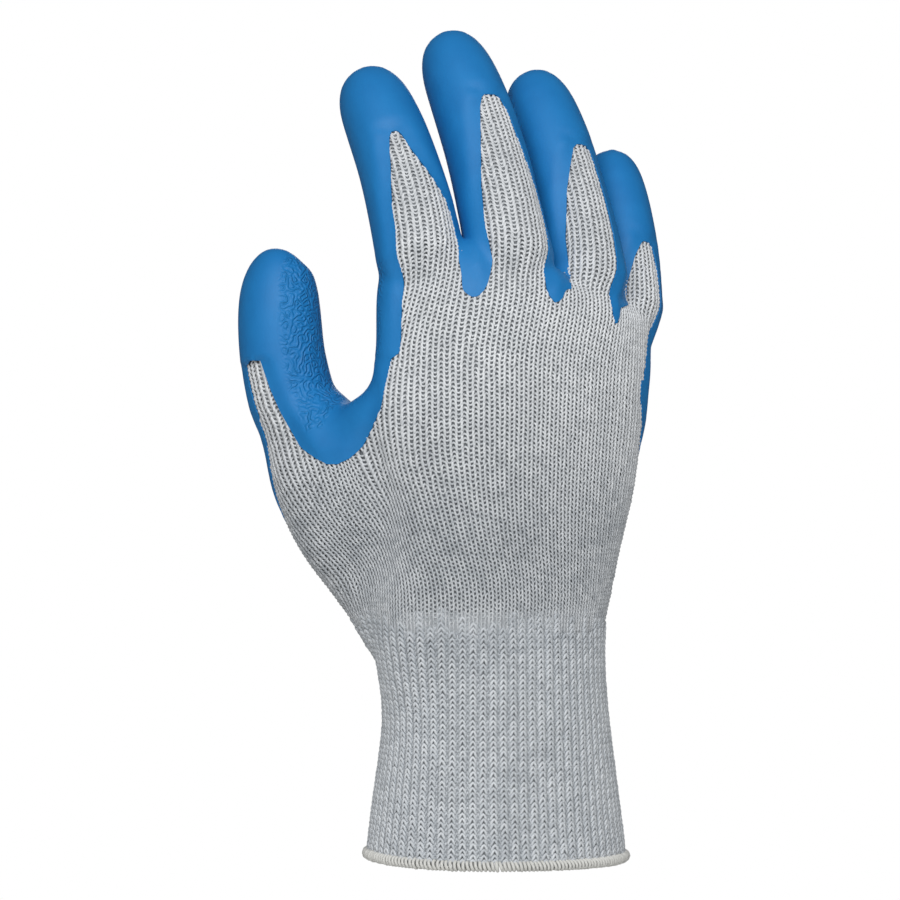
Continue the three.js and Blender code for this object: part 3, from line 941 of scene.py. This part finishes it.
# how uneven worn knit is: shares of a wale and of a course, and a depth, and the range of the tint
unevenness = (0.02, 0.05, 0.04 * mm)
tint_range = (0.3, 0.55)


def painted_shade_at_height(height):
    """How much painted shade darkens the yarn at a height."""
    levels = np.array(painted_shade_levels)
    return np.interp(height, levels[:, 0] * mm, levels[:, 1])


def stamp(name, template, size, grid, normals, cells, sink, material, tuck, painted_shade=0.0):
    """Copies a template into cells of a grid, bent to the skin, as one mesh.

    sink is how deep the loops lie; tuck gives two heights and how much deeper they lie there; the last
    argument is painted shade taken off the loops' colour.
    """
    places, faces = template
    share = places / np.array([size[0], size[1], 1.0])
    a = (share[:, 0] + 0.5)[None, :, None]
    b = (share[:, 1] + 0.5)[None, :, None]
    row, col, part, parts = cells.T
    beside = (col + 1) % grid.shape[1]
    jitter = chance.normal(0, 1, (len(cells), 3))
    a = (a + jitter[:, None, :1] * unevenness[0] + part[:, None, None]) / parts[:, None, None]
    b = b + jitter[:, None, 1:2] * unevenness[1]
    low = grid[row, col][:, None] * (1 - a) + grid[row, beside][:, None] * a
    high = grid[row + 1, col][:, None] * (1 - a) + grid[row + 1, beside][:, None] * a
    out = normals[row, col][:, None] * (1 - a) + normals[row, beside][:, None] * a
    sink = sink + np.interp(low[:, :1, 2:3], *tuck)
    lift = share[None, :, 2:3] - sink + jitter[:, None, 2:3] * unevenness[2]
    points = low + (high - low) * b + out * lift
    corners = faces[None] + (np.arange(len(cells)) * len(places))[:, None, None]
    mesh = bpy.data.meshes.new(name)
    mesh.from_pydata(points.reshape(-1, 3).tolist(), [], corners.reshape(-1, faces.shape[1]).tolist())
    tint_and_painted_shade = mesh.attributes.new("tint_and_painted_shade", "FLOAT", "POINT")
    # each loop's random tone, less the painted shade by height and the painted shade given for the valleys
    tone_and_painted_shade = chance.uniform(*tint_range, len(cells)) - painted_shade_at_height(low[:, 0, 2]) - painted_shade
    tint_and_painted_shade.data.foreach_set("value", np.repeat(tone_and_painted_shade, len(places)))
    mesh.materials.append(material)
    mesh.shade_smooth()
    mesh.update()
    return new_object(name, mesh)


# a template's size across a wale and up a course
hand_yarn_radius = 0.41 * mm
hand_size = (2.9 * mm, hand_course)
hand_loop = loop_mesh(jersey_path(*hand_size, steps=8, lean=0.095, overlap=0.8, lift=0.3 * mm),
                      hand_yarn_radius)
cuff_size = (2.9 * mm, cuff_course)
print("faces in a loop:", len(hand_loop[1]))

# %% Loops on the hand
# the loops go on this far under the latex's edge
under_edge = 2.0 * mm

# a cell between two fingers hangs in the air, so it is left out if it is this far off the skin: below the
# webs a cell may span a small valley, above them it may not
webs_start = 130 * mm
furthest_off = (3.0 * mm, 0.9 * mm)

# a loop's usual stretch where the wales spread, from which the number of loops in a wide cell follows
fullest_cell = 1.15
hand_sink = 0.4 * mm


def cell_middles(grid):
    """The middle of each cell, from its four corners."""
    beside = np.roll(grid, -1, axis=1)
    return (grid[:-1] + grid[1:] + beside[:-1] + beside[1:]) / 4


def bare_cells(grid, widest):
    """The cells whose knit shows or goes on just under the latex's edge, and that lie on the skin."""
    middles = cell_middles(grid)
    bare = coat_field(middles.reshape(-1, 3)).reshape(middles.shape[:2]) < under_edge
    widths = np.linalg.norm(np.roll(grid, -1, axis=1) - grid, axis=2)
    sound = (widths[:-1] < widest) & (widths[1:] < widest)
    flat = middles.reshape(-1, 3)
    away = np.linalg.norm(snap(flat)[0] - flat, axis=1).reshape(sound.shape)
    sound &= away < np.where(middles[:, :, 2] < webs_start, *furthest_off)
    loops = (widths[:-1] + widths[1:]) / 2 / (hand_size[0] * fullest_cell)
    parts = np.maximum(1, np.round(loops)).astype(int)
    return np.array([(row, col, part, parts[row, col]) for row, col in np.argwhere(bare & sound)
                     for part in range(parts[row, col])])


# the hand's first courses lie deeper, under the rib's last ones, and the two halves keep each piece small
hand_cells = bare_cells(hand_grid, 2 * widest_wale)
half_way = len(hand_cells) // 2
hand_tuck = ((hand_start, cuff_length + 3 * mm), (0.7 * mm, 0.0))
low_stitches = stamp("hand_stitches_low", hand_loop, hand_size, hand_grid, hand_normals,
                     hand_cells[:half_way], hand_sink, yarn, hand_tuck)
high_stitches = stamp("hand_stitches_high", hand_loop, hand_size, hand_grid, hand_normals,
                      hand_cells[half_way:], hand_sink, yarn, hand_tuck)

# %% [markdown]
# ## The rib of the cuff
# The cuff is knitted as a rib, which pulls together and shows only the legs of its loops, as columns of
# small arrows with valleys between them. Copying the whole loop here would hide most of its faces. So each
# cell gets two short arrows: a thick one on the ridge, and a thinner, deeper one between ridges, darkened
# with painted shade.

# %% Arrows on the cuff
cuff_leg_radius = 0.46 * mm
cuff_sink = 0.45 * mm
valley_leg_radius = 0.4 * mm
valley_sink = 0.85 * mm
# painted shade on the valley arrows, which lie deeper between the ridges
valley_painted_shade = 0.12
ragged_courses = 6


def arrow_path(width, height, lift):
    """The two leaning legs of a rib stitch, meeting at the top."""
    share = ((-0.33, -0.75, -1), (-0.27, -0.3, 0.4), (-0.14, 0.25, 1), (0, 0.55, 0.6), (0.14, 0.25, 1),
             (0.27, -0.3, 0.4), (0.33, -0.75, -1))
    return [(x * width, y * height, z * lift) for x, y, z in share]


# the columns end unevenly where the rib goes over into plain knit, and sink under the hand's first courses
cuff_legs = loop_mesh(arrow_path(*cuff_size, 0.3 * mm), cuff_leg_radius)
cuff_ends = len(cuff_grid) - 1 - chance.integers(0, ragged_courses, cuff_wales)
cuff_cells = np.array([(row, col, 0, 1) for col in range(cuff_wales) for row in range(cuff_ends[col])])
cuff_tuck = ((cuff_length - 11 * mm, cuff_length + 3 * mm), (0.0, 0.6 * mm))
cuff_stitches = stamp("cuff_stitches", cuff_legs, cuff_size, cuff_grid, cuff_normals, cuff_cells,
                      cuff_sink, cuff_yarn, cuff_tuck)
beside = np.roll(cuff_grid, -1, axis=1)
between_grid = (cuff_grid + beside) / 2
valley_legs = loop_mesh(arrow_path(cuff_size[0] * 0.8, cuff_size[1], 0.2 * mm)[1:6], valley_leg_radius)
cuff_valleys = stamp("cuff_valleys", valley_legs, cuff_size, between_grid, cuff_normals, cuff_cells,
                     valley_sink, cuff_yarn, cuff_tuck, painted_shade=valley_painted_shade)
for piece in (low_stitches, high_stitches, cuff_stitches, cuff_valleys):
    print(piece.name, "triangles:", len(piece.data.polygons) * 2)

# %% [markdown]
# ## The latex skin
# The dipped rubber is a film that follows the cloth, thin at its edge and thicker on the palm. It could be
# cut out by a boolean, but then its edge would need a shape of its own. Here it is the skin again: faces
# are split exactly where the field crosses zero, what is bare is deleted, and the film is lifted and given a
# wall. The wrinkled grip comes from letting the wet latex shrink, so its ridges wander like worms. They are
# finer than the film's faces, so the finish draws them, and an attribute of the mesh says where they show.

# %% Cut the film out of the skin
latex_wall = 0.5 * mm
edge_rise = 0.25 * mm
full_rise = 1.3 * mm
edge_slope = 5 * mm


def film_mesh():
    """The part of the skin inside the coat, split along the field's zero."""
    bm = bmesh.new()
    bm.from_mesh(form)
    bm.verts.ensure_lookup_table()
    field = {v: f for v, f in zip(bm.verts, form_coat)}
    cut = []
    for edge in list(bm.edges):
        a, b = edge.verts
        if field[a] * field[b] < 0:
            share = field[a] / (field[a] - field[b])
            _, vert = bmesh.utils.edge_split(edge, a, share)
            field[vert] = 0.0
            cut.append(vert)
    bmesh.ops.connect_verts(bm, verts=cut)
    outside = [f for f in bm.faces if sum(field[v] for v in f.verts) < 0]
    bmesh.ops.delete(bm, geom=outside, context="FACES")
    return to_mesh(bm, "latex_film")


film = film_mesh()
film_places, film_normals = corners_of(film)
inside = np.maximum(coat_field(film_places), 0)
rise = edge_rise + (full_rise - edge_rise) * smoothstep(0, edge_slope, inside)
film.vertices.foreach_set("co", (film_places + film_normals * rise[:, None]).ravel())

# %% Where the grip is crinkled
# degrees from a limb's back where the grip begins, and the share along the limb that it begins at
crinkle_from = {"thumb": (44, 0.62), "index": (104, 0.0), "middle": (104, 0.0), "ring": (80, 0.6),
                "little": (76, 0.5)}
crinkle_blend = 6
limb_reach = 18 * mm


def crinkle_of(points, normals):
    """How strongly the grip finish shows: on the palm side, and round to the facing sides of some limbs."""
    shown = smoothstep(-0.15, 0.15, normals[:, 1])
    nearest = np.full(len(points), np.inf)
    for name, (start, low) in crinkle_from.items():
        share, angle, distance, _ = on_path(paths[name], points)
        own = (distance < nearest) & (share > low)
        limb = smoothstep(start - crinkle_blend, start + crinkle_blend, np.abs(angle))
        shown = np.where(own & (distance < limb_reach), limb, shown)
        nearest = np.minimum(nearest, distance)
    return shown


crinkle = crinkle_of(film_places, film_normals) * smoothstep(2 * mm, 6 * mm, inside)
film.attributes.new("crinkle", "FLOAT", "POINT").data.foreach_set("value", crinkle)
latex = walled("latex_skin", film, latex_wall, rubber)
print("latex faces:", len(latex.data.polygons))

# %% [markdown]
# ## The hem
# The wrist opening is overcast: an off-white thread winds round the raw edge and packs into a soft roll.
# One long spiral would be truer to the thread, but uneven turns are easier to make apart. Each turn is a
# small closed ring, leaned over a little, and the rings stand side by side round the opening.

# %% Overcast thread
hem_turns = 185
hem_thread_radius = 0.5 * mm
hem_inset = 0.8 * mm
hem_lean = 15
turn_sides = 10
thread_sides = 5


def hem_frame(angle, inset):
    """The middle of the hem roll at an angle round the opening, with its outward direction."""
    row = hand_rows()[0]
    edge = hand_point(row, angle)
    out = Vector((edge.x - row[1], edge.y - row[3], 0)).normalized()
    inner = edge - out * inset
    return Vector((inner.x, inner.y, hem_roll / 2 + tilted_hem(edge))), out


def hem_angles(count):
    """Angles that share out the opening's edge evenly."""
    fine = np.linspace(0, math.tau, 1441)
    edge = np.array([hem_frame(a, hem_inset)[0] for a in fine])
    walked = np.concatenate([[0], np.cumsum(np.linalg.norm(np.diff(edge, axis=0), axis=1))])
    return np.interp(np.arange(count) / count * walked[-1], walked, fine)


def hem_turn_rings(angle):
    """The thread's sections round one turn of it, leaned over and a little uneven."""
    roll = hem_roll / 2 - hem_thread_radius * 0.7
    middle, out = hem_frame(angle, hem_inset)
    along = Vector((-out.y, out.x, 0))
    tilt = Matrix.Rotation(math.radians(hem_lean + chance.normal(0, 4)), 3, out)
    size = 1 + chance.normal(0, 0.04)
    rings = []
    for turn in np.arange(turn_sides) / turn_sides * math.tau:
        reach = out * math.cos(turn) + tilt @ Vector((0, 0, 1)) * math.sin(turn)
        centre = middle + reach * roll * size
        rings.append([centre + (reach * math.cos(s) + (tilt @ along) * math.sin(s)) * hem_thread_radius
                      for s in np.arange(thread_sides) / thread_sides * math.tau])
    return rings


def hem_mesh():
    """All turns of the thread, each bridged into a closed ring."""
    bm = bmesh.new()
    for angle in hem_angles(hem_turns):
        loops = []
        for ring in hem_turn_rings(angle):
            made = bmesh.ops.create_circle(bm, segments=thread_sides, radius=1)
            for vert, place in zip(made["verts"], ring):
                vert.co = place
            loops.append(list({e for v in made["verts"] for e in v.link_edges}))
        for low, high in zip(loops, loops[1:] + loops[:1]):
            bmesh.ops.bridge_loops(bm, edges=low + high)
    bmesh.ops.recalc_face_normals(bm, faces=bm.faces)
    return to_mesh(bm, "hem_overcast")


hem = new_object("hem_overcast", hem_mesh())
hem.data.materials.append(hem_thread)
hem.data.shade_smooth()
print("hem faces:", len(hem.data.polygons))

# %% [markdown]
# ## Handing the pieces to the frame
# Every piece rides on the one body, and the solids that the pieces stand for are hidden.

# %% Pieces and bodies
stalls = [name + "_stall" for name in ("thumb", *fingers)]
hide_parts("knit_hand", *stalls)
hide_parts("knit_wrist")
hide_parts("latex_coat")
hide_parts("cuff_hem")
knitted = (hand_cloth, wrist_cloth, low_stitches, high_stitches, cuff_stitches, cuff_valleys)
for piece in (*knitted, latex, hem):
    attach(piece, "root")
print("pieces handed over:", len(knitted) + 2)

# %% [markdown]
# ## Camera and light
# The glove was photographed square on from a little to the thumb's side, with a long lens, in a white tent
# with soft light from the front. A narrow field of view keeps the fingers from bulging, and two large area
# lights leave the sides a little darker. A third one behind shows the palm and hardly touches this view.

# %% Camera
# lengths in metres, but for the sensor, which Blender takes in millimetres
camera_azimuth = math.radians(-28)
camera_distance = 1.0
camera_height = 121.3 * mm
camera_shift = -13.9 * mm
view_field = 266.94 * mm
sensor = 36.0
ahead = Vector((-math.sin(camera_azimuth), math.cos(camera_azimuth), 0))
right = Vector((math.cos(camera_azimuth), math.sin(camera_azimuth), 0))
camera = bpy.data.objects.new("camera", bpy.data.cameras.new("camera"))
camera.data.sensor_width = sensor
camera.data.lens = sensor * camera_distance / view_field
camera.location = right * camera_shift - ahead * camera_distance + Vector((0, 0, camera_height))
camera.rotation_euler = ahead.to_track_quat("-Z", "Y").to_euler()
bpy.context.scene.collection.objects.link(camera)
bpy.context.scene.camera = camera
print("lens:", round(camera.data.lens, 1))

# %% Floor, world and lights
floor_size = 2.4
floor_height = -0.3
tent_glow = 0.13
aim_height = 0.13


def floor_material():
    """Matte white paint, so that the floor has no shine of its own."""
    material, tree = new_material("matte_white_studio_floor")
    shader = add_node(tree, "ShaderNodeBsdfPrincipled", {"Base Color": linear("#F2F2F0"), "Roughness": 0.9})
    finish_material(tree, shader)
    return material


bm = bmesh.new()
bmesh.ops.create_grid(bm, x_segments=2, y_segments=2, size=floor_size / 2,
                      matrix=Matrix.Translation((0, 0, floor_height)))
floor = new_object("floor", to_mesh(bm, "floor"))
floor.data.materials.append(floor_material())

# the tent looks white behind the glove, but lights it only a little
world = bpy.data.worlds.new("white_tent")
world.use_nodes = True
bpy.context.scene.world = world
tree = world.node_tree
tree.nodes.clear()
seen = add_node(tree, "ShaderNodeLightPath").outputs["Is Camera Ray"]
strength = add_node(tree, "ShaderNodeMix", {0: seen, 2: tent_glow, 3: 1.0}, data_type="FLOAT")
backdrop = add_node(tree, "ShaderNodeBackground", {"Color": (1, 1, 1, 1), "Strength": strength.outputs[0]})
add_node(tree, "ShaderNodeOutputWorld", {"Surface": backdrop.outputs[0]})


def softbox(name, azimuth, height, distance, size, power):
    """A square area light that looks at the middle of the glove from a direction."""
    turn = math.radians(azimuth)
    middle = Vector((0, 0, aim_height))
    light = bpy.data.lights.new(name, "AREA")
    light.shape = "SQUARE"
    light.size = size
    light.energy = power
    piece = bpy.data.objects.new(name, light)
    piece.location = Vector((math.sin(turn) * distance, -math.cos(turn) * distance, height))
    piece.rotation_euler = (middle - piece.location).to_track_quat("-Z", "Y").to_euler()
    bpy.context.scene.collection.objects.link(piece)
    return piece


# name, azimuth, height, distance, size, power
softbox("key_left", -48, 0.85, 1.25, 0.8, 11.6)
softbox("key_right", -12, 0.82, 1.25, 0.8, 11.2)
softbox("fill_behind", 152, 0.5, 1.5, 0.6, 5)
bpy.context.scene.view_settings.view_transform = "Standard"
